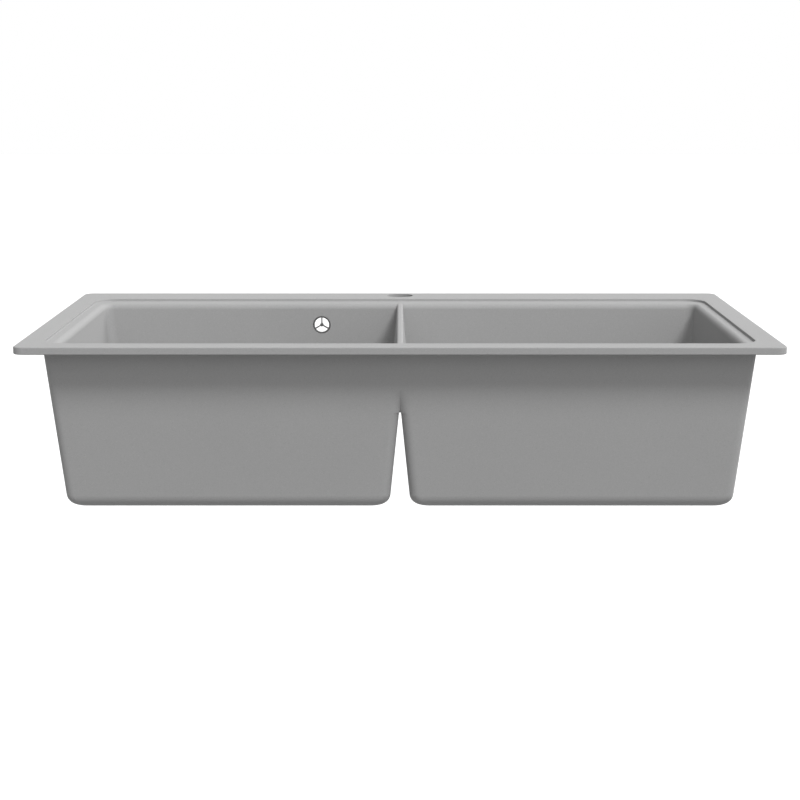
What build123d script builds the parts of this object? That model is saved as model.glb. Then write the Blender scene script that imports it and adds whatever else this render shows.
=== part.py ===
"""Drop-in double bowl kitchen sink with a basket strainer waste in each bowl.

Millimetres. The origin is the centre of the worktop cut-out, in the plane of the rim's
underside. +Z is up, -Y is the front edge and +X is to the right.
"""

from build123d import *
from math import cos, pi, radians, sin, sqrt, tan
import os

os.makedirs("parts", exist_ok=True)

# Rim
rim_length = 860.0
rim_depth = 500.0
rim_thickness = 8.5
rim_corner_radius = 11.5
rim_edge_radius = 1.2

# Shelf, sunk inside the rim: its margins run from the rim's edges to the step's top edge
step_depth = 3.0
step_draft = 3.0
step_radius = 0.4
shelf_side_margin = 26.4
shelf_front_margin = 31.5
shelf_rear_margin = 63.5
shelf_corner_radius = 28.0

# Bowls, inside: widths are taken at the shelf, where wall and shelf would meet unrounded
bowl_side_ledge = 15.4
bowl_front_ledge = 16.0
bowl_rear_ledge = 31.0
divider_thickness = 7.0
wall_draft = 3.5
rear_wall_draft = 4.5
divider_draft = 5.0
roll_radius = 7.0
divider_edge_radius = 2.3
bowl_corner_radius = 10.0
divider_corner_radius = 9.0
floor_corner_radius = 20.0
floor_fillet_radius = 18.0
floor_thickness = 12.0
floor_fall = 2.0
floor_border = 20.0
drain_border = 3.0
mouth_section_count = 8

# Bowls, outside
body_height = 195.0
outer_side_setback = 27.15
outer_front_setback = 33.0
outer_rear_setback = 82.0
outer_draft = 6.0
outer_corner_radius = 10.0
outer_floor_radius = 14.5
outer_floor_section_count = 8

# Gap between the bowls, outside, and the hollow in the walls above it that it runs out in
gap_top_depth = 73.5
gap_top_width = 2.0
gap_draft = 5.75
gap_edge_radius = 11.0
gap_arch_height = 27.0
gap_arch_depth = 7.5
gap_arch_end = 0.15

# Tap hole
tap_hole_radius = 17.5
tap_hole_from_rear = 26.0

# Overflow, in the left bowl's rear wall
overflow_from_centre = 103.3
overflow_below_rim = 30.5
overflow_mouth_radius = 11.6
overflow_bore_radius = 10.5
overflow_bore_length = 6.0
overflow_spot_radius = 17.0
overflow_spot_depth = 2.2
grille_thickness = 2.6
grille_clearance = 0.15
grille_ring_width = 2.0
grille_bar_width = 1.7
grille_bar_setback = 0.4
grille_bar_count = 3
grille_bar_angle = 90.0
grille_hub_radius = 2.4
grille_chamfer = 0.4

# Drains: their place and the hole and recess in each bowl's floor
drain_from_rear = 110.0
drain_hole_radius = 45.0
flange_overlap = 11.5
flange_clearance = 1.5
seat_gasket_thickness = 1.0

# Waste cup, pressed from steel sheet
sheet_thickness = 1.2
cup_hole_gap = 4.0
cup_throat_depth = 7.5
cup_ledge_width = 4.0
cup_wall_depth = 21.5
cup_cone_width = 7.0
cup_depth = 30.5
cup_bend_radius = 1.2
cup_hole_radius = 4.5
cup_hole_circle_radius = 19.0
cup_hole_count = 8

# Waste body, moulded
under_gasket_thickness = 2.0
body_flange_thickness = 4.0
body_hole_margin = 2.0
body_wall_thickness = 3.0
body_cup_gap = 6.0
body_edge_radius = 3.0
outlet_radius = 23.9
outlet_bore_radius = 20.0
outlet_length = 16.0
outlet_chamfer = 1.0
boss_radius = 9.5
boss_gap = 1.5
boss_wall = 1.5
boss_floor = 1.2
spider_width = 3.0
spider_height = 9.0
spider_root = 2.0
spider_count = 3
spider_angle = 30.0
gusset_count = 8
gusset_thickness = 2.5
gusset_drop = 11.0

# Clamping screw and its nut
screw_radius = 4.0
screw_clearance = 0.25
screw_head_radius = 7.5
screw_head_height = 3.0
screw_slot_width = 1.4
screw_slot_depth = 1.6
screw_overrun = 0.5
screw_end_gap = 0.3
nut_flats = 13.0
nut_height = 6.0
thread_clearance = 0.05

# Strainer basket, with its stem, stopper and knob
basket_sheet = 0.8
basket_rim_gap = 0.8
basket_wall_gap = 0.8
basket_depth = 10.0
basket_wall_taper = 4.0
basket_bend_radius = 1.5
basket_hole_radius = 1.7
basket_hole_spacing = 6.6
basket_first_ring = 9.0
basket_edge_margin = 4.5
basket_ring_count = 4
seal_thickness = 3.0
seal_gap = 0.45
seal_lift = 0.6
stem_radius = 3.0
stem_collar_radius = 6.0
stem_head_radius = 5.0
stem_head_height = 1.2
stem_clearance = 0.1
knob_radius = 11.0
knob_head_height = 7.0
knob_shank_radius = 5.0
knob_stand = 3.5
knob_cover = 3.0
knob_edge_radius = 2.0

# Side inlet for an overflow hose on the left waste, and what closes it
inlet_radius = 9.0
inlet_bore_radius = 6.5
inlet_drop = 15.6
inlet_washer_thickness = 1.5
cap_wall = 2.6
cap_clearance = 0.15
cap_flange_gap = 0.5
cap_grip = 8.0
cap_rib_count = 16
cap_rib_radius = 0.7

# How far from a level or a line an edge may lie and still count as on it
edge_tolerance = 0.01

# Radii of the waste, worked out from the hole that it passes through
flange_radius = drain_hole_radius + flange_overlap
recess_radius = flange_radius + flange_clearance
cup_throat_radius = drain_hole_radius - cup_hole_gap
cup_wall_radius = cup_throat_radius - cup_ledge_width
cup_floor_radius = cup_wall_radius - cup_cone_width
body_wall_radius = drain_hole_radius + body_hole_margin
body_inner_radius = body_wall_radius - body_wall_thickness
screw_hole_radius = screw_radius + screw_clearance
stem_hole_radius = stem_radius + stem_clearance
inlet_length = flange_radius + cap_flange_gap + cap_grip - body_wall_radius

# Levels
shelf_level = rim_thickness - step_depth
underside_level = rim_thickness - body_height
floor_level = underside_level + floor_thickness
drain_level = floor_level - floor_fall
seat_level = drain_level - seat_gasket_thickness - sheet_thickness
ledge_level = drain_level - cup_throat_depth
cup_floor_level = drain_level - cup_depth
body_top_level = underside_level - under_gasket_thickness
body_floor_level = cup_floor_level - sheet_thickness - body_cup_gap
body_bottom_level = body_floor_level - body_wall_thickness
boss_top_level = cup_floor_level - sheet_thickness - boss_gap
nut_bottom_level = boss_top_level - boss_wall - nut_height
screw_end_level = nut_bottom_level - screw_overrun
screw_hole_level = screw_end_level - screw_end_gap
boss_bottom_level = screw_hole_level - boss_floor
overflow_level = rim_thickness - overflow_below_rim
gap_top_level = -gap_top_depth
gap_arch_level = gap_top_level + gap_arch_height
outer_floor_level = underside_level + outer_floor_radius

# Outline of the shelf and of the bowls' mouths
shelf_half_length = rim_length / 2 - shelf_side_margin
shelf_front = -rim_depth / 2 + shelf_front_margin
shelf_rear = rim_depth / 2 - shelf_rear_margin
mouth_side = shelf_half_length - bowl_side_ledge
mouth_front = shelf_front + bowl_front_ledge
mouth_rear = shelf_rear - bowl_rear_ledge
mouth_divider = divider_thickness / 2

drain_x = (mouth_side + mouth_divider) / 2
drain_y = mouth_rear - drain_from_rear


def wall_offset(level, radius, draft):
    """How far out the wall lies at a level, from where it would meet the shelf unrounded."""
    drop = level - shelf_level
    if drop <= -radius * (1 - sin(radians(draft))):
        return drop * tan(radians(draft))
    centre = radius * (1 - sin(radians(draft))) / cos(radians(draft))
    return centre - sqrt(max(0.0, radius**2 - (drop + radius) ** 2))


def bowl_outline(level, side_radius, near_radius):
    """Outline of the right bowl's hollow at one level, for the open sketch."""
    side = mouth_side + wall_offset(level, roll_radius, wall_draft)
    near = mouth_divider - wall_offset(level, divider_edge_radius, divider_draft)
    front = mouth_front - wall_offset(level, roll_radius, wall_draft)
    rear = mouth_rear + wall_offset(level, roll_radius, rear_wall_draft)
    with Locations(((side + near) / 2, (front + rear) / 2)):
        outline = Rectangle(side - near, rear - front)
    fillet(outline.vertices().group_by(Axis.X)[-1], side_radius)
    fillet(outline.vertices().group_by(Axis.X)[0], near_radius)


def outer_outline(level, near, notch, inset=0.0):
    """Outline of the right bowl's outside at one level, for the open line.

    near is its side at the gap, and notch is how far the rounding there reaches along the gap.
    """
    shrink = inset - level * tan(radians(outer_draft))
    side = rim_length / 2 - outer_side_setback - shrink
    front = -rim_depth / 2 + outer_front_setback + shrink
    rear = rim_depth / 2 - outer_rear_setback - shrink
    corner = outer_corner_radius
    for wall, turn in ((front, 1), (rear, -1)):
        Line((near + gap_edge_radius, wall), (side - corner, wall))
        TangentArc((near + gap_edge_radius, wall), (near, wall + turn * notch), tangent=(-1, 0))
        TangentArc((side - corner, wall), (side, wall + turn * corner), tangent=(1, 0))
    Line((near, front + notch), (near, rear - notch))
    Line((side, front + corner), (side, rear - corner))


def gap_half(level):
    """Half the width of the gap between the bowls at a level below its top."""
    return gap_top_width / 2 + (gap_top_level - level) * tan(radians(gap_draft))


def drain_plane(x, angle=0.0):
    """Upright plane through a drain's axis: its x is the radius and its y is the height."""
    across = (cos(radians(angle)), sin(radians(angle)), 0)
    facing = (sin(radians(angle)), -cos(radians(angle)), 0)
    return Plane(origin=(x, drain_y, 0), x_dir=across, z_dir=facing)


def rear_plane(x, y, level):
    """Upright plane that faces the rear, at a point."""
    return Plane(origin=(x, y, level), x_dir=(-1, 0, 0), z_dir=(0, 1, 0))


def drain_axis(x):
    """A drain's axis, pointing up."""
    return Axis((x, drain_y, 0), (0, 0, 1))


def finish(part, name):
    """Label a finished piece and write it."""
    part.label = name
    export_step(part, f"parts/{name}.step")


# The hollow of the right bowl: straight walls, then the roll-over at its mouth
roll_start = shelf_level - roll_radius
with BuildPart() as bowl_hollow:
    for level, corner, near in (
        (floor_level, floor_corner_radius, floor_corner_radius),
        (roll_start, bowl_corner_radius, divider_corner_radius),
    ):
        with BuildSketch(Plane.XY.offset(level)):
            bowl_outline(level, corner, near)
    loft(ruled=True)
    fillet(bowl_hollow.edges().group_by(Axis.Z)[0], floor_fillet_radius)

with BuildPart() as bowl_mouth:
    start_offset = wall_offset(roll_start, roll_radius, wall_draft)
    for section in range(mouth_section_count + 1):
        level = roll_start + roll_radius * sin(pi / 2 * section / mouth_section_count)
        growth = wall_offset(level, roll_radius, wall_draft) - start_offset
        with BuildSketch(Plane.XY.offset(level)):
            bowl_outline(level, bowl_corner_radius + growth, divider_corner_radius)
    loft()

# The shallow fall of the floor towards the drain
floor_side = mouth_side + wall_offset(floor_level, roll_radius, wall_draft) - floor_border
floor_near = mouth_divider - wall_offset(floor_level, divider_edge_radius, divider_draft) + floor_border
floor_front = mouth_front - wall_offset(floor_level, roll_radius, wall_draft) + floor_border
floor_rear = mouth_rear + wall_offset(floor_level, roll_radius, rear_wall_draft) - floor_border
with BuildPart() as floor_dish:
    with BuildSketch(Plane.XY.offset(floor_level)):
        with Locations(((floor_side + floor_near) / 2, (floor_front + floor_rear) / 2)):
            RectangleRounded(floor_side - floor_near, floor_rear - floor_front, floor_corner_radius)
    with BuildSketch(Plane.XY.offset(drain_level)):
        with Locations((drain_x, drain_y)):
            dish_foot = 2 * (recess_radius + drain_border)
            RectangleRounded(dish_foot, dish_foot, recess_radius)
    loft(ruled=True)

# The outside, as far as the gap's top in one block, and then the right bowl's share of it
with BuildPart() as outer_top:
    for level in (shelf_level / 2, gap_arch_level):
        shrink = -level * tan(radians(outer_draft))
        front = -rim_depth / 2 + outer_front_setback + shrink
        rear = rim_depth / 2 - outer_rear_setback - shrink
        with BuildSketch(Plane.XY.offset(level)):
            with Locations((0, (front + rear) / 2)):
                length = rim_length - 2 * (outer_side_setback + shrink)
                RectangleRounded(length, rear - front, outer_corner_radius)
    loft(ruled=True)

with BuildPart() as outer_arch:
    for level, notch in ((gap_top_level, gap_arch_depth), (gap_arch_level, gap_arch_end)):
        with BuildSketch(Plane.XY.offset(level)):
            with BuildLine():
                outer_outline(level, 0, notch)
            make_face()
    loft(ruled=True)

with BuildPart() as outer_walls:
    for level in (gap_top_level, outer_floor_level):
        with BuildSketch(Plane.XY.offset(level)):
            with BuildLine():
                outer_outline(level, gap_half(level), gap_edge_radius)
            make_face()
    loft(ruled=True)

with BuildPart() as outer_floor:
    for section in range(outer_floor_section_count + 1):
        angle = pi / 2 * section / outer_floor_section_count
        level = outer_floor_level - outer_floor_radius * sin(angle)
        inset = outer_floor_radius * (1 - cos(angle))
        with BuildSketch(Plane.XY.offset(level)):
            with BuildLine():
                outer_outline(level, gap_half(level) + inset, gap_edge_radius, inset)
            make_face()
    loft()

overflow_wall = mouth_rear + wall_offset(overflow_level, roll_radius, rear_wall_draft)
overflow_outside = rim_depth / 2 - outer_rear_setback + overflow_level * tan(radians(outer_draft))
overflow_back = overflow_outside - overflow_spot_depth
overflow_seat = overflow_back - overflow_bore_length
overflow_mouth = overflow_wall - overflow_mouth_radius
with BuildPart() as sink_body:
    with BuildSketch():
        RectangleRounded(rim_length, rim_depth, rim_corner_radius)
    extrude(amount=rim_thickness)
    rim_edges = sink_body.edges().group_by(Axis.Z)
    fillet(rim_edges[0] + rim_edges[-1], rim_edge_radius)
    step_spread = step_depth * tan(radians(step_draft))
    with BuildSketch(Plane.XY.offset(shelf_level)):
        with Locations((0, (shelf_front + shelf_rear) / 2)):
            RectangleRounded(
                2 * (shelf_half_length - step_spread),
                shelf_rear - shelf_front - 2 * step_spread,
                shelf_corner_radius - step_spread,
            )
    extrude(amount=step_depth, taper=-step_draft, mode=Mode.SUBTRACT)
    shelf = sink_body.faces().filter_by(Plane.XY).sort_by(Axis.Z)[1]
    fillet(shelf.edges(), step_radius)
    step_top = sink_body.faces().filter_by(Plane.XY).sort_by(Axis.Z)[-1].inner_wires()[0]
    fillet(step_top.edges(), step_radius)
    add(outer_top.part)
    for share in (outer_arch.part, outer_walls.part, outer_floor.part):
        add(share)
        add(mirror(share, about=Plane.YZ, mode=Mode.PRIVATE))
    for hollow in (bowl_hollow.part, bowl_mouth.part, floor_dish.part):
        add(hollow, mode=Mode.SUBTRACT)
        add(mirror(hollow, about=Plane.YZ, mode=Mode.PRIVATE), mode=Mode.SUBTRACT)
    with BuildSketch(Plane.XY.offset(seat_level)):
        with Locations((drain_x, drain_y), (-drain_x, drain_y)):
            Circle(recess_radius)
    extrude(amount=drain_level - seat_level + floor_fall, mode=Mode.SUBTRACT)
    with BuildSketch(Plane.XY.offset(underside_level)):
        with Locations((drain_x, drain_y), (-drain_x, drain_y)):
            Circle(drain_hole_radius)
    extrude(amount=floor_thickness, mode=Mode.SUBTRACT)
    with BuildSketch():
        with Locations((0, rim_depth / 2 - tap_hole_from_rear)):
            Circle(tap_hole_radius)
    extrude(amount=rim_thickness, mode=Mode.SUBTRACT)
    for start, length, radius in (
        (overflow_mouth, overflow_seat - overflow_mouth, overflow_mouth_radius),
        (overflow_seat, overflow_bore_length, overflow_bore_radius),
        (overflow_back, 2 * overflow_spot_depth, overflow_spot_radius),
    ):
        with BuildSketch(rear_plane(-overflow_from_centre, start, overflow_level)):
            Circle(radius)
        extrude(amount=length, mode=Mode.SUBTRACT)
finish(sink_body.part, "sink_body")

with BuildPart() as overflow_grille:
    ring_radius = overflow_mouth_radius - grille_clearance
    with BuildSketch(rear_plane(-overflow_from_centre, overflow_seat, overflow_level)):
        Circle(ring_radius)
        Circle(ring_radius - grille_ring_width, mode=Mode.SUBTRACT)
    extrude(amount=-grille_thickness)
    front_edges = overflow_grille.edges().group_by(Axis.Y)[0]
    chamfer(front_edges, grille_chamfer)
    with BuildSketch(rear_plane(-overflow_from_centre, overflow_seat, overflow_level)):
        with PolarLocations(0, grille_bar_count, start_angle=grille_bar_angle):
            bar_length = ring_radius - grille_ring_width / 2
            Rectangle(bar_length, grille_bar_width, align=(Align.MIN, Align.CENTER))
    extrude(amount=grille_bar_setback - grille_thickness)
    with BuildSketch(rear_plane(-overflow_from_centre, overflow_seat, overflow_level)):
        Circle(grille_hub_radius)
    extrude(amount=-grille_thickness)
finish(overflow_grille.part, "overflow_grille")

for side, x in (("left", -drain_x), ("right", drain_x)):
    with BuildPart() as flange_gasket:
        with BuildSketch(Plane((x, drain_y, seat_level))):
            Circle(flange_radius - flange_clearance)
            Circle(drain_hole_radius, mode=Mode.SUBTRACT)
        extrude(amount=seat_gasket_thickness)
    finish(flange_gasket.part, f"{side}_flange_gasket")

    with BuildPart() as waste_flange:
        half = sheet_thickness / 2
        with BuildSketch(drain_plane(x)):
            with BuildLine():
                FilletPolyline(
                    (flange_radius, drain_level - half),
                    (cup_throat_radius + half, drain_level - half),
                    (cup_throat_radius + half, ledge_level - half),
                    (cup_wall_radius + half, ledge_level - half),
                    (cup_wall_radius + half, drain_level - cup_wall_depth),
                    (cup_floor_radius + half, cup_floor_level - half),
                    (screw_hole_radius, cup_floor_level - half),
                    radius=cup_bend_radius,
                )
            trace(line_width=sheet_thickness)
        revolve(axis=drain_axis(x))
        with BuildSketch(Plane((x, drain_y, cup_floor_level))):
            with PolarLocations(cup_hole_circle_radius, cup_hole_count):
                Circle(cup_hole_radius)
        extrude(amount=-sheet_thickness, mode=Mode.SUBTRACT)
    finish(waste_flange.part, f"{side}_waste_flange")

    with BuildPart() as under_gasket:
        with BuildSketch(Plane((x, drain_y, body_top_level))):
            Circle(flange_radius)
            Circle(drain_hole_radius, mode=Mode.SUBTRACT)
        extrude(amount=under_gasket_thickness)
    finish(under_gasket.part, f"{side}_under_gasket")

    with BuildPart() as waste_body:
        with BuildSketch(drain_plane(x)):
            with BuildLine():
                Polyline(
                    (body_inner_radius, body_top_level),
                    (flange_radius, body_top_level),
                    (flange_radius, body_top_level - body_flange_thickness),
                    (body_wall_radius, body_top_level - body_flange_thickness),
                    (body_wall_radius, body_bottom_level),
                    (outlet_radius, body_bottom_level),
                    (outlet_radius, body_bottom_level - outlet_length),
                    (outlet_bore_radius, body_bottom_level - outlet_length),
                    (outlet_bore_radius, body_floor_level),
                    (body_inner_radius, body_floor_level),
                    close=True,
                )
            make_face()
        revolve(axis=drain_axis(x))
        bottom_edges = waste_body.edges().filter_by_position(
            Axis.Z, body_bottom_level - edge_tolerance, body_bottom_level + edge_tolerance
        )
        fillet(bottom_edges.filter_by(GeomType.CIRCLE).sort_by(SortBy.RADIUS)[-1], body_edge_radius)
        for turn in range(gusset_count):
            angle = (turn + 0.5) * 360 / gusset_count
            root = body_wall_radius - body_wall_thickness / 2
            gusset_top = body_top_level - body_flange_thickness
            with BuildSketch(drain_plane(x, angle)):
                with BuildLine():
                    Polyline(
                        (root, gusset_top),
                        (flange_radius - gusset_thickness / 2, gusset_top),
                        (root, gusset_top - gusset_drop),
                        close=True,
                    )
                make_face()
            extrude(amount=gusset_thickness / 2, both=True)
        with BuildSketch(Plane((x, drain_y, boss_bottom_level))):
            Circle(boss_radius)
        extrude(amount=boss_top_level - boss_bottom_level)
        with BuildSketch(Plane((x, drain_y, boss_bottom_level))):
            with PolarLocations(0, spider_count, start_angle=spider_angle):
                arm_length = outlet_bore_radius + spider_root
                Rectangle(arm_length, spider_width, align=(Align.MIN, Align.CENTER))
        extrude(amount=spider_height)
        with BuildSketch(Plane((x, drain_y, screw_hole_level))):
            Circle(screw_hole_radius)
        extrude(amount=boss_top_level - screw_hole_level, mode=Mode.SUBTRACT)
        with BuildSketch(Plane((x, drain_y, nut_bottom_level))):
            RegularPolygon(nut_flats / 2, 6, major_radius=False)
        extrude(amount=nut_height, mode=Mode.SUBTRACT)
        if side == "left":
            inlet_root = drain_y + body_wall_radius - body_wall_thickness / 2
            inlet_level = body_top_level - inlet_drop
            with BuildSketch(rear_plane(x, inlet_root, inlet_level)):
                Circle(inlet_radius)
            extrude(amount=inlet_length + body_wall_thickness / 2)
            with BuildSketch(rear_plane(x, inlet_root - body_wall_thickness, inlet_level)):
                Circle(inlet_bore_radius)
            extrude(amount=inlet_length + 2 * body_wall_thickness, mode=Mode.SUBTRACT)
        outlet_edge = waste_body.edges().group_by(Axis.Z)[0].sort_by(SortBy.RADIUS)[-1]
        chamfer(outlet_edge, outlet_chamfer)
    finish(waste_body.part, f"{side}_waste_body")

    with BuildPart() as fixing_nut:
        with BuildSketch(Plane((x, drain_y, nut_bottom_level))):
            RegularPolygon(nut_flats / 2, 6, major_radius=False)
            Circle(screw_radius + thread_clearance, mode=Mode.SUBTRACT)
        extrude(amount=nut_height)
    finish(fixing_nut.part, f"{side}_fixing_nut")

    with BuildPart() as fixing_screw:
        with BuildSketch(Plane((x, drain_y, cup_floor_level))):
            Circle(screw_head_radius)
        extrude(amount=screw_head_height)
        fillet(fixing_screw.edges().group_by(Axis.Z)[-1], screw_head_height / 3)
        with BuildSketch(Plane((x, drain_y, cup_floor_level))):
            Circle(screw_radius)
        extrude(amount=screw_end_level - cup_floor_level)
        with BuildSketch(Plane((x, drain_y, cup_floor_level + screw_head_height))):
            Rectangle(2 * screw_head_radius, screw_slot_width)
        extrude(amount=-screw_slot_depth, mode=Mode.SUBTRACT)
    finish(fixing_screw.part, f"{side}_fixing_screw")

    basket_half = basket_sheet / 2
    basket_wall_radius = cup_wall_radius - basket_wall_gap - basket_half
    basket_floor = ledge_level - basket_depth
    basket_floor_radius = basket_wall_radius - basket_wall_taper
    basket_last_ring = basket_floor_radius - basket_edge_margin
    basket_ring_pitch = (basket_last_ring - basket_first_ring) / (basket_ring_count - 1)
    with BuildPart() as strainer_basket:
        with BuildSketch(drain_plane(x)):
            with BuildLine():
                FilletPolyline(
                    (cup_throat_radius - basket_rim_gap, ledge_level + basket_half),
                    (basket_wall_radius, ledge_level + basket_half),
                    (basket_floor_radius, basket_floor - basket_half),
                    (stem_hole_radius, basket_floor - basket_half),
                    radius=basket_bend_radius,
                )
            trace(line_width=basket_sheet)
        revolve(axis=drain_axis(x))
        with BuildSketch(Plane((x, drain_y, basket_floor))):
            for ring in range(basket_ring_count):
                ring_radius = basket_first_ring + ring * basket_ring_pitch
                with PolarLocations(ring_radius, int(2 * pi * ring_radius / basket_hole_spacing)):
                    Circle(basket_hole_radius)
        extrude(amount=-basket_sheet, mode=Mode.SUBTRACT)
    finish(strainer_basket.part, f"{side}_strainer_basket")

    seal_bottom = cup_floor_level + screw_head_height + seal_lift
    cone_slope = (cup_wall_radius - cup_floor_radius) / (cup_depth - cup_wall_depth)
    seal_radius = cup_floor_radius + (seal_bottom - cup_floor_level) * cone_slope - seal_gap
    with BuildPart() as basket_seal:
        with BuildSketch(drain_plane(x)):
            with BuildLine():
                Polyline(
                    (stem_head_radius + stem_clearance, seal_bottom),
                    (seal_radius, seal_bottom),
                    (seal_radius + seal_thickness * cone_slope, seal_bottom + seal_thickness),
                    (stem_hole_radius, seal_bottom + seal_thickness),
                    (stem_hole_radius, seal_bottom + stem_head_height),
                    (stem_head_radius + stem_clearance, seal_bottom + stem_head_height),
                    close=True,
                )
            make_face()
        revolve(axis=drain_axis(x))
    finish(basket_seal.part, f"{side}_basket_seal")

    knob_top = drain_level + knob_stand
    with BuildPart() as basket_stem:
        for start, end, radius in (
            (seal_bottom, seal_bottom + stem_head_height, stem_head_radius),
            (seal_bottom + seal_thickness, basket_floor - basket_sheet, stem_collar_radius),
            (seal_bottom, knob_top - knob_cover, stem_radius),
        ):
            with BuildSketch(Plane((x, drain_y, start))):
                Circle(radius)
            extrude(amount=end - start)
    finish(basket_stem.part, f"{side}_basket_stem")

    with BuildPart() as basket_knob:
        with BuildSketch(drain_plane(x)):
            with BuildLine():
                Polyline(
                    (0, knob_top),
                    (knob_radius, knob_top),
                    (knob_radius, knob_top - knob_head_height / 2),
                    (knob_shank_radius, knob_top - knob_head_height),
                    (knob_shank_radius, basket_floor),
                    (stem_hole_radius, basket_floor),
                    (stem_hole_radius, knob_top - knob_cover),
                    (0, knob_top - knob_cover),
                    close=True,
                )
            make_face()
        revolve(axis=drain_axis(x))
        fillet(basket_knob.edges().group_by(Axis.Z)[-1], knob_edge_radius)
    finish(basket_knob.part, f"{side}_basket_knob")

with BuildPart() as overflow_inlet_washer:
    inlet_end = drain_y + body_wall_radius + inlet_length
    inlet_level = body_top_level - inlet_drop
    with BuildSketch(rear_plane(-drain_x, inlet_end, inlet_level)):
        Circle(inlet_radius)
        Circle(inlet_bore_radius, mode=Mode.SUBTRACT)
    extrude(amount=inlet_washer_thickness)
finish(overflow_inlet_washer.part, "overflow_inlet_washer")

with BuildPart() as overflow_inlet_cap:
    cap_inner_radius = inlet_radius + cap_clearance
    cap_outer_radius = cap_inner_radius + cap_wall
    cap_inside = inlet_end + inlet_washer_thickness
    with BuildSketch(rear_plane(-drain_x, inlet_end - cap_grip, inlet_level)):
        Circle(cap_outer_radius)
        with PolarLocations(cap_outer_radius, cap_rib_count):
            Circle(cap_rib_radius)
    extrude(amount=cap_grip + inlet_washer_thickness + cap_wall)
    with BuildSketch(rear_plane(-drain_x, inlet_end - cap_grip, inlet_level)):
        Circle(cap_inner_radius)
    extrude(amount=cap_grip + inlet_washer_thickness, mode=Mode.SUBTRACT)
finish(overflow_inlet_cap.part, "overflow_inlet_cap")
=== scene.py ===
"""Finishes and stage for a drop-in double bowl kitchen sink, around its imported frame.

Metres. The origin is the centre of the worktop cut-out, in the plane of the rim's underside.
+Z is up, -Y is the front edge and +X is to the right.
"""

from math import atan2, cos, hypot, pi, radians, sin

import bmesh
import bpy
from bpy.props import FloatProperty, FloatVectorProperty, IntProperty, PointerProperty
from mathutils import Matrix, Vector


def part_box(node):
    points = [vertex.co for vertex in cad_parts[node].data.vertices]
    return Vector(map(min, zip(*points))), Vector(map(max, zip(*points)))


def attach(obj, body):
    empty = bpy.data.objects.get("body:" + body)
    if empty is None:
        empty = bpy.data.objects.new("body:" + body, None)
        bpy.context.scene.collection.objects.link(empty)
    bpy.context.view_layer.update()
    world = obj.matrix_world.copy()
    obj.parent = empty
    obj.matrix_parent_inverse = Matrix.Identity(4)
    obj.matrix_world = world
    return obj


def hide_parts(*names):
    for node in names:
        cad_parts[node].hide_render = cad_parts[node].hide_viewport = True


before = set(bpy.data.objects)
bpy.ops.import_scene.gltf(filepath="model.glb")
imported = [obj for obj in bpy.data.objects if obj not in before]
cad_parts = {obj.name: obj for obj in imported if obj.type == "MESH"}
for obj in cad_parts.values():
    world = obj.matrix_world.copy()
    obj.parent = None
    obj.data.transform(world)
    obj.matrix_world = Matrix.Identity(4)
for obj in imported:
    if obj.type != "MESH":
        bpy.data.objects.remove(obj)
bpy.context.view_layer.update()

bl_info = {
    "name": "Double Bowl Kitchen Sink",
    "version": (1, 0, 0),
    "blender": (4, 5, 0),
    "location": "3D View > Sidebar > Sink",
    "description": "Finishes a granite composite sink with its two basket wastes, and lights it",
    "category": "Object",
}

SIDES = ("left", "right")


def drain_centre(side):
    """The point on a waste's axis at the level of its steel flange's top."""
    low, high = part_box(f"{side}_waste_flange")
    return Vector(((low.x + high.x) / 2, (low.y + high.y) / 2, high.z))


class SinkFinishes(bpy.types.PropertyGroup):
    """Colours and finishes of the sink's own pieces."""

    granite_colour: FloatVectorProperty(
        name="Granite colour", description="Colour of the composite between its grains",
        subtype="COLOR", size=3, min=0, max=1, default=(0.425, 0.425, 0.425))
    granite_grain: FloatProperty(
        name="Grain size", description="Width of the quartz grains in the composite",
        subtype="DISTANCE", min=0.0001, max=0.005, default=0.0007)
    granite_contrast: FloatProperty(
        name="Grain contrast", description="How far the grains' brightness departs from the colour",
        min=0, max=1, default=0.03)
    granite_roughness: FloatProperty(
        name="Granite roughness", description="Roughness of the moulded surface",
        subtype="FACTOR", min=0, max=1, default=0.62)
    granite_sheen: FloatProperty(
        name="Granite sheen", description="How strongly the moulded surface reflects",
        subtype="FACTOR", min=0, max=1, default=0.22)
    steel_colour: FloatVectorProperty(
        name="Steel colour", description="Colour of the stainless flanges, screws, baskets and stems",
        subtype="COLOR", size=3, min=0, max=1, default=(0.66, 0.66, 0.65))
    steel_roughness: FloatProperty(
        name="Steel roughness", description="Roughness of the satin steel",
        subtype="FACTOR", min=0, max=1, default=0.3)
    # The grille's steel is darker than the wastes' steel: its colour is painted shade of the overflow hole
    # it sits in.
    grille_shaded_colour: FloatVectorProperty(
        name="Grille colour", description="Colour of the overflow's grille, in darker steel",
        subtype="COLOR", size=3, min=0, max=1, default=(0.3, 0.3, 0.3))
    rubber_colour: FloatVectorProperty(
        name="Rubber colour", description="Colour of the gaskets and stoppers",
        subtype="COLOR", size=3, min=0, max=1, default=(0.03, 0.03, 0.03))
    moulding_colour: FloatVectorProperty(
        name="Moulding colour", description="Colour of the plastic bodies under the bowls",
        subtype="COLOR", size=3, min=0, max=1, default=(0.78, 0.78, 0.76))
    brass_colour: FloatVectorProperty(
        name="Brass colour", description="Colour of the nuts in the plastic bodies",
        subtype="COLOR", size=3, min=0, max=1, default=(0.72, 0.54, 0.26))
    knob_colour: FloatVectorProperty(
        name="Knob colour", description="Colour of the baskets' knobs",
        subtype="COLOR", size=3, min=0, max=1, default=(0.025, 0.025, 0.025))


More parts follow.
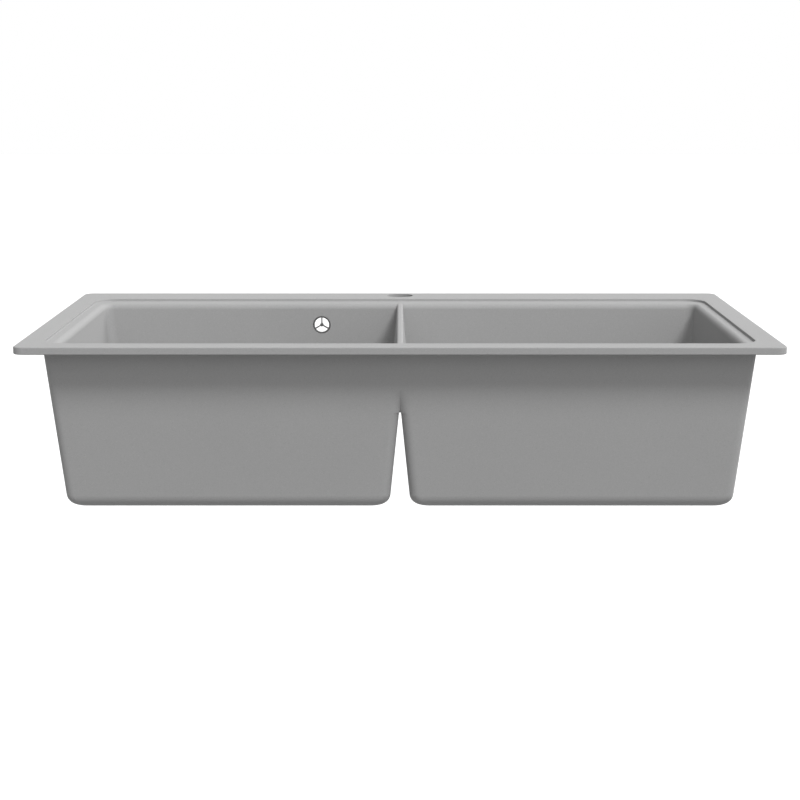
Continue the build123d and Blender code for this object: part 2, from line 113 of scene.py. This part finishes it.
class SinkFittings(bpy.types.PropertyGroup):
    """Sizes of the details on the wastes that the frame draws plainly."""

    thread_pitch: FloatProperty(
        name="Thread pitch", description="Pitch of the outlet's pipe thread",
        subtype="DISTANCE", min=0.001, max=0.005, default=0.002309)
    thread_depth: FloatProperty(
        name="Thread depth", description="Depth of the outlet's thread, below the frame's cylinder",
        subtype="DISTANCE", min=0.0002, max=0.002, default=0.001)
    outlet_radius: FloatProperty(
        name="Outlet radius", description="Radius of the frame's outlet, and over its thread",
        subtype="DISTANCE", min=0.01, max=0.05, default=0.0239)
    outlet_length: FloatProperty(
        name="Outlet length", description="Length of the frame's outlet under its body",
        subtype="DISTANCE", min=0.005, max=0.1, default=0.016)
    outlet_chamfer: FloatProperty(
        name="Outlet chamfer", description="Chamfer at the end of the frame's outlet",
        subtype="DISTANCE", min=0, max=0.005, default=0.001)
    knob_shank: FloatProperty(
        name="Knob shank", description="Radius of the foot that joins a knob to its stem",
        subtype="DISTANCE", min=0.003, max=0.008, default=0.005)
    grip_height: FloatProperty(
        name="Grip height", description="Height of the fluted grip at the top of a knob",
        subtype="DISTANCE", min=0.005, max=0.008, default=0.0062)
    flute_count: IntProperty(
        name="Knob flutes", description="Number of grip flutes round a knob", min=3, max=60, default=18)
    flute_depth: FloatProperty(
        name="Flute depth", description="Depth of a grip flute",
        subtype="DISTANCE", min=0, max=0.002, default=0.0005)


class SinkStage(bpy.types.PropertyGroup):
    """Camera, lamps, world and floor."""

    lens: FloatProperty(
        name="Lens", description="Focal length on a sensor 36 mm wide",
        subtype="DISTANCE_CAMERA", min=10, max=300, default=83.74)
    camera_back: FloatProperty(
        name="Camera distance", description="How far in front of the sink's centre the camera stands",
        subtype="DISTANCE", min=0.5, max=20, default=2.285)
    camera_height: FloatProperty(
        name="Camera height", description="Height of the camera above the rim's underside",
        subtype="DISTANCE", min=-5, max=5, default=0.3146)
    camera_pitch: FloatProperty(
        name="Camera pitch", description="How far the camera looks down",
        subtype="ANGLE", min=-pi / 2, max=pi / 2, default=radians(10.17))
    key_direction: FloatVectorProperty(
        name="Key direction", description="Direction from the sink towards the key light",
        subtype="DIRECTION", size=3, default=(0.340, -0.544, 0.767))
    key_strength: FloatProperty(
        name="Key strength", description="Strength of the key light", min=0, default=1.78)
    key_size: FloatProperty(
        name="Key size", description="Width of the key light, seen from the sink",
        subtype="ANGLE", min=0, max=pi, default=radians(17))
    fill_direction: FloatVectorProperty(
        name="Fill direction", description="Direction from the sink towards the fill light",
        subtype="DIRECTION", size=3, default=(0.72, 0.36, 0.59))
    fill_strength: FloatProperty(
        name="Fill strength", description="Strength of the fill light", min=0, default=1.88)
    fill_size: FloatProperty(
        name="Fill size", description="Width of the fill light, seen from the sink",
        subtype="ANGLE", min=0, max=pi, default=radians(55))
    front_direction: FloatVectorProperty(
        name="Front direction", description="Direction from the sink towards the low front light",
        subtype="DIRECTION", size=3, default=(0, -0.968, 0.25))
    front_strength: FloatProperty(
        name="Front strength", description="Strength of the low front light", min=0, default=0.74)
    front_size: FloatProperty(
        name="Front size", description="Width of the low front light, seen from the sink",
        subtype="ANGLE", min=0, max=pi, default=radians(60))
    room_strength: FloatProperty(
        name="Room strength", description="Strength of the even light from all round", min=0, default=0.16)
    floor_drop: FloatProperty(
        name="Floor drop", description="How far the floor lies below the origin",
        subtype="DISTANCE", min=0.25, max=5, default=1.2)
    floor_colour: FloatVectorProperty(
        name="Floor colour", description="Colour with which the floor lights the sink from below",
        subtype="COLOR", size=3, min=0, max=1, default=(0.25, 0.25, 0.25))


def new_material(name, colour, roughness, metallic=0.0):
    """A material with one shader. Returns the material, its node tree and the shader."""
    material = bpy.data.materials.new(name)
    material.use_nodes = True
    tree = material.node_tree
    shader = next(node for node in tree.nodes if node.type == "BSDF_PRINCIPLED")
    shader.inputs["Base Color"].default_value = (*colour, 1)
    shader.inputs["Roughness"].default_value = roughness
    shader.inputs["Metallic"].default_value = metallic
    return material, tree, shader


def place(tree):
    """The piece's own place, in metres."""
    return tree.nodes.new("ShaderNodeTexCoord").outputs["Object"]


def noise(tree, vector, size, detail=2.0):
    """Cloudy pattern from 0 to 1 whose blotches are about as wide as size."""
    node = tree.nodes.new("ShaderNodeTexNoise")
    node.inputs["Scale"].default_value = 1 / size
    node.inputs["Detail"].default_value = detail
    tree.links.new(vector, node.inputs["Vector"])
    return node.outputs["Fac"]


def grains(tree, vector, size):
    """Cells about as wide as size, each with its own value from 0 to 1."""
    node = tree.nodes.new("ShaderNodeTexVoronoi")
    node.inputs["Scale"].default_value = 1 / size
    tree.links.new(vector, node.inputs["Vector"])
    split = tree.nodes.new("ShaderNodeSeparateColor")
    tree.links.new(node.outputs["Color"], split.inputs["Color"])
    return split.outputs["Red"]


def remap(tree, value, low, high, start=0.0, end=1.0):
    """The value stretched from the range start to end onto the range low to high."""
    node = tree.nodes.new("ShaderNodeMapRange")
    node.inputs["From Min"].default_value = start
    node.inputs["From Max"].default_value = end
    node.inputs["To Min"].default_value = low
    node.inputs["To Max"].default_value = high
    tree.links.new(value, node.inputs["Value"])
    return node.outputs["Result"]


def vary(tree, pattern, low, high):
    """A value from low to high out of a cloudy pattern, which mostly lies between 0.3 and 0.7."""
    return remap(tree, pattern, low, high, start=0.3, end=0.7)


def arithmetic(tree, operation, first, second=0.0):
    """Two values joined by one operation. Each is a socket or a number."""
    node = tree.nodes.new("ShaderNodeMath")
    node.operation = operation
    for value, socket in zip((first, second), node.inputs):
        if isinstance(value, bpy.types.NodeSocket):
            tree.links.new(value, socket)
        else:
            socket.default_value = value
    return node.outputs["Value"]


def ring_place(tree, centre, upright):
    """Place round a piece's axis: distance from it, bearing shrunk to a small length, and place along it.

    The axis points up, or from front to back where the piece stands upright.
    """
    bearing_scale = 0.0006
    centred = tree.nodes.new("ShaderNodeMapping")
    centred.vector_type = "TEXTURE"
    centred.inputs["Location"].default_value = centre
    centred.inputs["Rotation"].default_value = (-pi / 2 if upright else 0, 0, 0)
    tree.links.new(place(tree), centred.inputs["Vector"])
    axes = tree.nodes.new("ShaderNodeSeparateXYZ")
    tree.links.new(centred.outputs["Vector"], axes.inputs["Vector"])
    across = arithmetic(tree, "POWER", axes.outputs["X"], 2)
    along = arithmetic(tree, "POWER", axes.outputs["Y"], 2)
    turn = arithmetic(tree, "ARCTAN2", axes.outputs["Y"], axes.outputs["X"])
    rings = tree.nodes.new("ShaderNodeCombineXYZ")
    tree.links.new(arithmetic(tree, "SQRT", arithmetic(tree, "ADD", across, along)), rings.inputs["X"])
    tree.links.new(arithmetic(tree, "MULTIPLY", turn, bearing_scale), rings.inputs["Y"])
    tree.links.new(axes.outputs["Z"], rings.inputs["Z"])
    return rings.outputs["Vector"]


def tint(tree, shader, colour, brightness):
    """Sets the shader's colour, made brighter or darker by a value around 1."""
    node = tree.nodes.new("ShaderNodeVectorMath")
    node.operation = "SCALE"
    node.inputs[0].default_value = colour
    tree.links.new(brightness, node.inputs["Scale"])
    tree.links.new(node.outputs["Vector"], shader.inputs["Base Color"])


def roughen(tree, shader, roughness):
    """Sets the shader's roughness from a value."""
    tree.links.new(roughness, shader.inputs["Roughness"])


def bump(tree, shader, height, depth, strength):
    """Raises the surface by a value from 0 to 1, at most by depth."""
    node = tree.nodes.new("ShaderNodeBump")
    node.inputs["Strength"].default_value = strength
    node.inputs["Distance"].default_value = depth
    tree.links.new(height, node.inputs["Height"])
    tree.links.new(node.outputs["Normal"], shader.inputs["Normal"])


def mix_shaders(tree, share, first, second):
    """The first shader where the share is 0, and the second where it is 1."""
    node = tree.nodes.new("ShaderNodeMixShader")
    tree.links.new(share, node.inputs["Fac"])
    tree.links.new(first, node.inputs[1])
    tree.links.new(second, node.inputs[2])
    return node.outputs["Shader"]


def granite_material(settings):
    """Quartz grains in resin: a close even grain, a few light and dark grains and a moulded skin."""
    colour = settings.granite_colour
    contrast = settings.granite_contrast
    roughness = settings.granite_roughness
    material, tree, shader = new_material("granite_composite", colour, roughness)
    shader.inputs["Specular IOR Level"].default_value = settings.granite_sheen
    odd_share = 0.04
    odd_contrast = 3 * contrast
    spread = 0.05
    where = place(tree)
    grain = grains(tree, where, settings.granite_grain)
    fine = noise(tree, where, size=2 * settings.granite_grain, detail=3)
    broad = noise(tree, where, size=0.12)
    even = remap(tree, grain, low=1 - contrast, high=1 + contrast)
    light = remap(tree, grain, low=0, high=odd_contrast, start=1 - odd_share)
    dark = remap(tree, grain, low=-odd_contrast, high=0, end=odd_share)
    mottled = vary(tree, fine, low=1 - contrast / 2, high=1 + contrast / 2)
    cloudy = vary(tree, broad, low=0.99, high=1.01)
    speckled = arithmetic(tree, "ADD", arithmetic(tree, "ADD", even, light), dark)
    brightness = arithmetic(tree, "MULTIPLY", arithmetic(tree, "MULTIPLY", speckled, mottled), cloudy)
    tint(tree, shader, colour, brightness)
    roughen(tree, shader, remap(tree, fine, low=roughness - spread, high=roughness + spread))
    bump(tree, shader, fine, depth=0.00004, strength=0.3)
    return material


def steel_material(settings, name, colour, centre, upright=False):
    """Satin steel, with fine rings round the piece's axis from the polishing wheel."""
    roughness = settings.steel_roughness
    material, tree, shader = new_material(name, colour, roughness, metallic=1.0)
    scratches = noise(tree, ring_place(tree, centre, upright), size=0.00022)
    smears = noise(tree, place(tree), size=0.02, detail=3)
    smeared = remap(tree, smears, low=roughness - 0.03, high=roughness + 0.07)
    scratched = vary(tree, scratches, low=-0.06, high=0.06)
    tint(tree, shader, colour, vary(tree, scratches, low=0.9, high=1.06))
    roughen(tree, shader, arithmetic(tree, "ADD", scratched, smeared))
    bump(tree, shader, scratches, depth=0.00002, strength=0.35)
    return material


def rubber_material(settings):
    """Soft black rubber with a dusty bloom and a faint mould texture."""
    colour = settings.rubber_colour
    material, tree, shader = new_material("black_rubber", colour, roughness=0.72)
    where = place(tree)
    bloom = noise(tree, where, size=0.009, detail=4)
    skin = noise(tree, where, size=0.0005)
    tint(tree, shader, colour, remap(tree, bloom, low=0.75, high=1.5, start=0.3, end=0.75))
    roughen(tree, shader, vary(tree, bloom, low=0.62, high=0.85))
    bump(tree, shader, skin, depth=0.00005, strength=0.4)
    return material


def moulding_material(settings):
    """White polypropylene: waxy, slightly translucent, with a spark-eroded mould skin."""
    colour = settings.moulding_colour
    material, tree, shader = new_material("white_polypropylene", colour, roughness=0.42)
    scatter_distance = 0.003
    shader.inputs["Subsurface Weight"].default_value = 0.12
    shader.inputs["Subsurface Radius"].default_value = (scatter_distance,) * 3
    where = place(tree)
    flow = noise(tree, where, size=0.03, detail=3)
    skin = noise(tree, where, size=0.0006, detail=1)
    tint(tree, shader, colour, vary(tree, flow, low=0.955, high=1.03))
    roughen(tree, shader, vary(tree, skin, low=0.36, high=0.5))
    bump(tree, shader, skin, depth=0.00004, strength=0.3)
    return material


def brass_material(settings):
    """Turned brass, a little dulled in patches."""
    colour = settings.brass_colour
    material, tree, shader = new_material("brass", colour, roughness=0.34, metallic=1.0)
    where = place(tree)
    tarnish = noise(tree, where, size=0.006, detail=4)
    cuts = noise(tree, where, size=0.0003)
    tint(tree, shader, colour, vary(tree, tarnish, low=0.72, high=1.05))
    roughen(tree, shader, vary(tree, tarnish, low=0.28, high=0.5))
    bump(tree, shader, cuts, depth=0.00002, strength=0.3)
    return material


def knob_material(settings):
    """Semi-gloss black plastic with faint handling marks."""
    colour = settings.knob_colour
    material, tree, shader = new_material("black_plastic", colour, roughness=0.3)
    where = place(tree)
    handling = noise(tree, where, size=0.007, detail=4)
    skin = noise(tree, where, size=0.0008, detail=1)
    tint(tree, shader, colour, vary(tree, handling, low=0.85, high=1.25))
    roughen(tree, shader, vary(tree, handling, low=0.22, high=0.42))
    bump(tree, shader, skin, depth=0.00002, strength=0.3)
    return material


def dress(material, *nodes):
    """Gives pieces of the frame a material."""
    for node in nodes:
        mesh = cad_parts[node].data
        mesh.materials.clear()
        mesh.materials.append(material)


def new_piece(bm, name, material, body, node):
    """Makes a finished piece from a bmesh, which rides on a body and stands for a piece of the frame."""
    sharp_angle = radians(32)
    mesh = bpy.data.meshes.new(name)
    bm.to_mesh(mesh)
    bm.free()
    mesh.materials.append(material)
    mesh.shade_smooth()
    mesh.set_sharp_from_angle(angle=sharp_angle)
    piece = bpy.data.objects.new(name, mesh)
    bpy.context.scene.collection.objects.link(piece)
    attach(piece, body)
    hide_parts(node)


def reach_from(centre, point):
    """Distance of a point from an upright axis."""
    return hypot(point.x - centre.x, point.y - centre.y)


def bearing_from(centre, point):
    """Bearing of a point round an upright axis, anticlockwise from +X."""
    return atan2(point.y - centre.y, point.x - centre.x)


def push_out(vertex, centre, distance):
    """Moves a vertex straight away from an upright axis."""
    scale = 1 + distance / reach_from(centre, vertex.co)
    vertex.co.x = centre.x + (vertex.co.x - centre.x) * scale
    vertex.co.y = centre.y + (vertex.co.y - centre.y) * scale


def arc(centre, radius, start, end, steps):
    """Points on an arc in the plane of radius and height, from one bearing to another in degrees."""
    turns = (radians(start + (end - start) * step / steps) for step in range(steps + 1))
    return [(centre[0] + radius * cos(turn), centre[1] + radius * sin(turn)) for turn in turns]


def merge_corners(bm):
    """Merges the corners that meet."""
    touching = 1e-6
    bmesh.ops.remove_doubles(bm, verts=bm.verts, dist=touching)


def spin_outline(bm, outline, axis_point, steps):
    """Turns an outline of (radius, height) points round an upright axis, and points its faces outwards."""
    points = [bm.verts.new((axis_point.x + radius, axis_point.y, height)) for radius, height in outline]
    edges = [bm.edges.new(pair) for pair in zip(points, points[1:])]
    bmesh.ops.spin(
        bm, geom=points + edges, cent=axis_point, axis=(0, 0, 1), dvec=(0, 0, 0),
        angle=2 * pi, steps=steps, use_merge=True)
    merge_corners(bm)
    bmesh.ops.recalc_face_normals(bm, faces=bm.faces)


def spin_thread(bm, centre, fittings, low, high):
    """Makes the outer wall of a threaded outlet, whose thread runs out at both ends."""
    rows_per_pitch = 20
    run_out = fittings.thread_pitch / 2
    rows = round(rows_per_pitch * (high - low) / fittings.thread_pitch)
    root = fittings.outlet_radius - fittings.thread_depth
    levels = (low + (high - low) * row / rows for row in range(rows + 1))
    spin_outline(bm, [(root, level) for level in levels], centre, steps=96)
    for vertex in bm.verts:
        rise = vertex.co.z - low
        fade = min(1.0, rise / run_out, (high - vertex.co.z) / run_out)
        ridge = 0.5 + 0.5 * cos(2 * pi * rise / fittings.thread_pitch - bearing_from(centre, vertex.co))
        push_out(vertex, centre, fade * ridge * fittings.thread_depth)


def open_outlet(bm, centre, fittings, low, high):
    """Takes the plain outer wall and its chamfer off an outlet."""
    slack = 0.00005
    level_normal = 0.9
    inside = fittings.outlet_radius - fittings.outlet_chamfer - slack
    outside = fittings.outlet_radius + slack
    wall = [
        face for face in bm.faces
        if abs(face.normal.z) < level_normal
        and all(low - slack < vertex.co.z < high + slack for vertex in face.verts)
        and all(inside < reach_from(centre, vertex.co) < outside for vertex in face.verts)
    ]
    if not wall:
        raise ValueError("The outlet's wall isn't where its radius and length put it.")
    bmesh.ops.delete(bm, geom=wall, context="FACES")


def threaded_body(node, centre, fittings):
    """A copy of a waste body with a real thread in place of its outlet's plain wall."""
    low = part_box(node)[0].z
    high = low + fittings.outlet_length
    end_gap = 0.0003
    bm = bmesh.new()
    bm.from_mesh(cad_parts[node].data)
    merge_corners(bm)
    open_outlet(bm, centre, fittings, low, high)
    thread = bmesh.new()
    spin_thread(thread, centre, fittings, low + end_gap, high - end_gap)
    sleeve = bpy.data.meshes.new("thread")
    thread.to_mesh(sleeve)
    thread.free()
    bm.from_mesh(sleeve)
    bpy.data.meshes.remove(sleeve)
    middle = (low + high) / 2
    open_edges = [edge for edge in bm.edges if edge.is_boundary]
    for above in (False, True):
        rims = [edge for edge in open_edges if (edge.verts[0].co.z > middle) == above]
        bmesh.ops.bridge_loops(bm, edges=rims)
    bmesh.ops.recalc_face_normals(bm, faces=bm.faces)
    return bm


def knob_outline(low, high, radius, fittings):
    """Outline of a knob: a dished top, a rounded grip edge, a waisted neck and a hollow foot.

    The neck's flare is given as (distance out from the neck, distance below the top).
    """
    dish_depth = 0.0006
    dish_shares = (0.0, 0.2, 0.4, 0.6)
    edge_radius = 0.0022
    edge_centre = (radius - edge_radius, high - edge_radius)
    shank = fittings.knob_shank
    neck = 0.86 * shank
    neck_flare = ((0.0022, fittings.grip_height), (0.0006, 0.0082), (0.0, 0.0105))
    neck_foot = low + 0.004
    shank_top = low + 0.0018
    bore = shank - 0.0016
    bore_roof = low + 0.003
    dish = [(radius * share, high - dish_depth * (1 - share ** 2) ** 2) for share in dish_shares]
    grip = arc(edge_centre, edge_radius, start=90, end=-40, steps=10)
    under = [(neck + out, high - down) for out, down in neck_flare]
    foot = [(neck, neck_foot), (shank, shank_top), (shank, low)]
    inside = [(bore, low), (bore, bore_roof), (0, bore_roof)]
    return dish + grip + under + foot + inside


def flute(bm, centre, radius, fittings, low, high):
    """Presses grip flutes into a knob's edge, between two levels."""
    inner_share = 0.6
    fade_share = 0.3
    for vertex in bm.verts:
        share = reach_from(centre, vertex.co) / radius
        if share < inner_share or not low < vertex.co.z < high:
            continue
        swell = sin(pi * (vertex.co.z - low) / (high - low)) ** 0.5
        fade = min(1.0, (share - inner_share) / fade_share)
        wave = 0.5 + 0.5 * cos(fittings.flute_count * bearing_from(centre, vertex.co))
        push_out(vertex, centre, -swell * fade * wave * fittings.flute_depth)


class SINK_OT_body(bpy.types.Operator):
    """Finish the moulded body in granite composite"""

    bl_idname = "sink.body"
    bl_label = "Granite Body"

    def execute(self, context):
        dress(granite_material(context.scene.sink_finishes), "sink_body")
        return {"FINISHED"}


class SINK_OT_grille(bpy.types.Operator):
    """Finish the overflow's grille in satin steel, darkened to paint in the shade of the overflow hole"""

    bl_idname = "sink.grille"
    bl_label = "Overflow Grille"

    def execute(self, context):
        settings = context.scene.sink_finishes
        low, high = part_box("overflow_grille")
        centre = (low + high) / 2
        # The grille's darker colour is painted shade of the overflow hole.
        dress(
            steel_material(settings, "grille_steel_painted_shade", settings.grille_shaded_colour, centre, upright=True),
            "overflow_grille")
        return {"FINISHED"}


class SINK_OT_wastes(bpy.types.Operator):
    """Finish the flanges, clamping screws, baskets and stems in satin steel"""

    bl_idname = "sink.wastes"
    bl_label = "Steel Wastes and Baskets"

    def execute(self, context):
        settings = context.scene.sink_finishes
        pieces = ("waste_flange", "fixing_screw", "strainer_basket", "basket_stem")
        for side in SIDES:
            steel = steel_material(settings, f"{side}_steel", settings.steel_colour, drain_centre(side))
            dress(steel, *(f"{side}_{piece}" for piece in pieces))
        return {"FINISHED"}


class SINK_OT_rubbers(bpy.types.Operator):
    """Finish the gaskets, the stoppers and the inlet's washer in rubber"""

    bl_idname = "sink.rubbers"
    bl_label = "Gaskets and Stoppers"

    def execute(self, context):
        rubber = rubber_material(context.scene.sink_finishes)
        for side in SIDES:
            dress(rubber, f"{side}_flange_gasket", f"{side}_under_gasket", f"{side}_basket_seal")
        dress(rubber, "overflow_inlet_washer")
        return {"FINISHED"}


class SINK_OT_mouldings(bpy.types.Operator):
    """Cut the outlets' threads, and finish the plastic bodies under the bowls and the inlet's cap"""

    bl_idname = "sink.mouldings"
    bl_label = "Plastic Waste Bodies"

    def execute(self, context):
        white = moulding_material(context.scene.sink_finishes)
        dress(white, "overflow_inlet_cap")
        for side in SIDES:
            node = f"{side}_waste_body"
            bm = threaded_body(node, drain_centre(side), context.scene.sink_fittings)
            name = f"{side}_threaded_body"
            new_piece(bm, name, white, body="sink", node=node)
        return {"FINISHED"}


class SINK_OT_nuts(bpy.types.Operator):
    """Finish the nuts that the clamping screws turn in"""

    bl_idname = "sink.nuts"
    bl_label = "Brass Nuts"

    def execute(self, context):
        dress(brass_material(context.scene.sink_finishes), *(f"{side}_fixing_nut" for side in SIDES))
        return {"FINISHED"}


class SINK_OT_knobs(bpy.types.Operator):
    """Turn the baskets' knobs, with grip flutes and a dished top"""

    bl_idname = "sink.knobs"
    bl_label = "Basket Knobs"

    def execute(self, context):
        fittings = context.scene.sink_fittings
        plastic = knob_material(context.scene.sink_finishes)
        for side in SIDES:
            node = f"{side}_basket_knob"
            low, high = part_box(node)
            centre = drain_centre(side)
            radius = (high.x - low.x) / 2
            bm = bmesh.new()
            spin_outline(bm, knob_outline(low.z, high.z, radius, fittings), centre, steps=144)
            flute(bm, centre, radius, fittings, high.z - fittings.grip_height, high.z)
            new_piece(bm, f"{side}_knob", plastic, body=f"{side}_basket", node=node)
        return {"FINISHED"}


def add_sun(name, direction, strength, size):
    """A soft parallel light from a direction onto the sink, as wide as size."""
    lamp = bpy.data.lights.new(name, "SUN")
    lamp.energy = strength
    lamp.angle = size
    light = bpy.data.objects.new(name, lamp)
    light.rotation_mode = "QUATERNION"
    light.rotation_quaternion = Vector(direction).to_track_quat("Z", "Y")
    bpy.context.scene.collection.objects.link(light)


def seen_directly(tree):
    """1 for what the camera, a reflection or glass sees, and 0 for light that falls on the sink."""
    path = tree.nodes.new("ShaderNodeLightPath")
    mirrored = arithmetic(
        tree, "MAXIMUM", path.outputs["Is Glossy Ray"], path.outputs["Is Transmission Ray"])
    return arithmetic(tree, "MAXIMUM", path.outputs["Is Camera Ray"], mirrored)


def white_background(tree, strength):
    """White light of the world, as strong as given."""
    node = tree.nodes.new("ShaderNodeBackground")
    node.inputs["Color"].default_value = (1, 1, 1, 1)
    node.inputs["Strength"].default_value = strength
    return node.outputs["Background"]


def add_world(settings):
    """Even light from all round, and white where the camera or a reflection sees past the sink."""
    world = bpy.data.worlds.new("studio")
    bpy.context.scene.world = world
    world.use_nodes = True
    tree = world.node_tree
    tree.nodes.clear()
    room = white_background(tree, settings.room_strength)
    backdrop = white_background(tree, 1.0)
    output = tree.nodes.new("ShaderNodeOutputWorld")
    tree.links.new(mix_shaders(tree, seen_directly(tree), room, backdrop), output.inputs["Surface"])


def floor_material(settings):
    """Pale floor: white to the camera where no shadow falls, grey as a reflector, and clear from below."""
    white_level = 0.9
    glow_strength = 0.35
    material, tree, shader = new_material("pale_floor", settings.floor_colour, roughness=1.0)
    shader.inputs["Specular IOR Level"].default_value = 0.0
    white = tree.nodes.new("ShaderNodeBsdfDiffuse")
    white.inputs["Color"].default_value = (white_level, white_level, white_level, 1)
    glow = tree.nodes.new("ShaderNodeEmission")
    glow.inputs["Strength"].default_value = glow_strength
    bright = tree.nodes.new("ShaderNodeAddShader")
    tree.links.new(white.outputs["BSDF"], bright.inputs[0])
    tree.links.new(glow.outputs["Emission"], bright.inputs[1])
    top = mix_shaders(tree, seen_directly(tree), shader.outputs["BSDF"], bright.outputs["Shader"])
    clear = tree.nodes.new("ShaderNodeBsdfTransparent").outputs["BSDF"]
    from_below = tree.nodes.new("ShaderNodeNewGeometry").outputs["Backfacing"]
    output = next(node for node in tree.nodes if node.type == "OUTPUT_MATERIAL")
    tree.links.new(mix_shaders(tree, from_below, top, clear), output.inputs["Surface"])
    return material


def add_floor(settings):
    """A wide floor well below the sink, which hangs in the air as it does in its worktop."""
    reach = 30.0
    bm = bmesh.new()
    bmesh.ops.create_grid(bm, x_segments=1, y_segments=1, size=reach)
    bmesh.ops.translate(bm, verts=bm.verts, vec=(0, 0, -settings.floor_drop))
    mesh = bpy.data.meshes.new("floor")
    bm.to_mesh(mesh)
    bm.free()
    mesh.materials.append(floor_material(settings))
    floor = bpy.data.objects.new("floor", mesh)
    bpy.context.scene.collection.objects.link(floor)


def add_camera(settings):
    """The camera, in front of the sink and a little above its rim."""
    data = bpy.data.cameras.new("camera")
    data.sensor_width = 36
    data.lens = settings.lens
    camera = bpy.data.objects.new("camera", data)
    bpy.context.scene.collection.objects.link(camera)
    camera.location = (0, -settings.camera_back, settings.camera_height)
    camera.rotation_euler = (pi / 2 - settings.camera_pitch, 0, 0)
    bpy.context.scene.camera = camera


class SINK_OT_stage(bpy.types.Operator):
    """Set up the camera, the lamps, the world and the floor"""

    bl_idname = "sink.stage"
    bl_label = "Studio Stage"

    def execute(self, context):
        settings = context.scene.sink_stage
        context.scene.view_settings.view_transform = "Standard"
        add_camera(settings)
        add_sun("key", settings.key_direction, settings.key_strength, settings.key_size)
        add_sun("fill", settings.fill_direction, settings.fill_strength, settings.fill_size)
        add_sun("front", settings.front_direction, settings.front_strength, settings.front_size)
        add_world(settings)
        add_floor(settings)
        return {"FINISHED"}


class VIEW3D_PT_sink(bpy.types.Panel):
    """Sidebar panel that lists the sink's steps and settings"""

    bl_idname = "VIEW3D_PT_sink"
    bl_label = "Double Bowl Sink"
    bl_space_type = "VIEW_3D"
    bl_region_type = "UI"
    bl_category = "Sink"

    def draw(self, context):
        for step in STEPS:
            self.layout.operator(step.bl_idname)
        for group in (context.scene.sink_finishes, context.scene.sink_fittings, context.scene.sink_stage):
            column = self.layout.column()
            for name in group.bl_rna.properties.keys():
                if name not in ("rna_type", "name"):
                    column.prop(group, name)


STEPS = (
    SINK_OT_stage,
    SINK_OT_body,
    SINK_OT_grille,
    SINK_OT_wastes,
    SINK_OT_rubbers,
    SINK_OT_mouldings,
    SINK_OT_nuts,
    SINK_OT_knobs,
)
GROUPS = (SinkFinishes, SinkFittings, SinkStage)


def register():
    """Register the classes and give the scene their settings."""
    for item in GROUPS + STEPS + (VIEW3D_PT_sink,):
        bpy.utils.register_class(item)
    bpy.types.Scene.sink_finishes = PointerProperty(type=SinkFinishes)
    bpy.types.Scene.sink_fittings = PointerProperty(type=SinkFittings)
    bpy.types.Scene.sink_stage = PointerProperty(type=SinkStage)


def unregister():
    """Take the settings and the classes away again."""
    for name in ("sink_finishes", "sink_fittings", "sink_stage"):
        delattr(bpy.types.Scene, name)
    for item in reversed(GROUPS + STEPS + (VIEW3D_PT_sink,)):
        bpy.utils.unregister_class(item)


def main():
    """Register the add-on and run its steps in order."""
    register()
    for step in STEPS:
        getattr(bpy.ops.sink, step.bl_idname.split(".")[1])()


if __name__ == "__main__":
    main()
